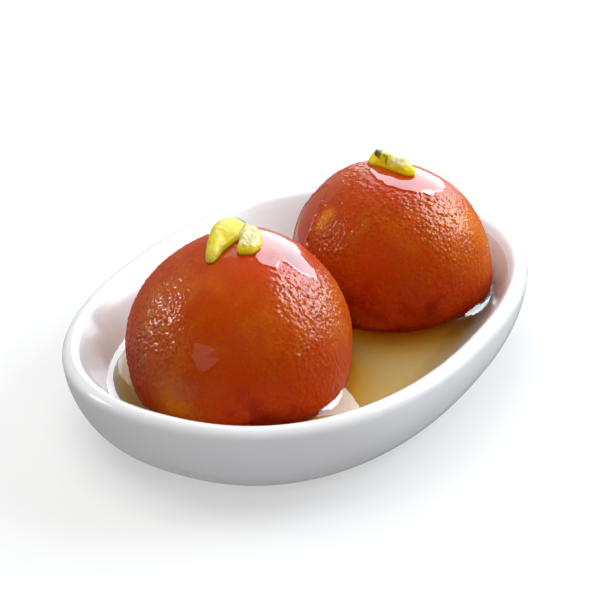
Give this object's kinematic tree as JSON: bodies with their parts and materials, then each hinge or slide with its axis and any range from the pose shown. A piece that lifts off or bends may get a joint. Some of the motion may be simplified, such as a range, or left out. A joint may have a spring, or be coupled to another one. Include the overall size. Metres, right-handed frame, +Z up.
{
  "type": "gulab jamun dessert dish",
  "caption": "Soft round milk dumplings steeped in sugar syrup and topped with pistachio, served in a small oval porcelain dish.",
  "frame": {"origin": "middle of the dish's footprint, on the surface the dish stands on", "axes": "+X along the dish's length, towards the smaller jamun; +Y across the dish; +Z up"},
  "size_m": [0.12, 0.0888, 0.0445],
  "materials": {
    "porcelain": "gloss",
    "syrup": "gloss",
    "jamun": "gloss",
    "pistachio": "satin",
    "pistachio_cut": "satin"
  },
  "bodies": {
    "root": {"dish": "porcelain", "syrup": "syrup", "jamun_front": "jamun", "jamun_rear": "jamun", "pistachio_front_sliver": "pistachio", "pistachio_front_chunk": "pistachio_cut", "pistachio_rear_sliver": "pistachio"}
  },
  "joints": []
}
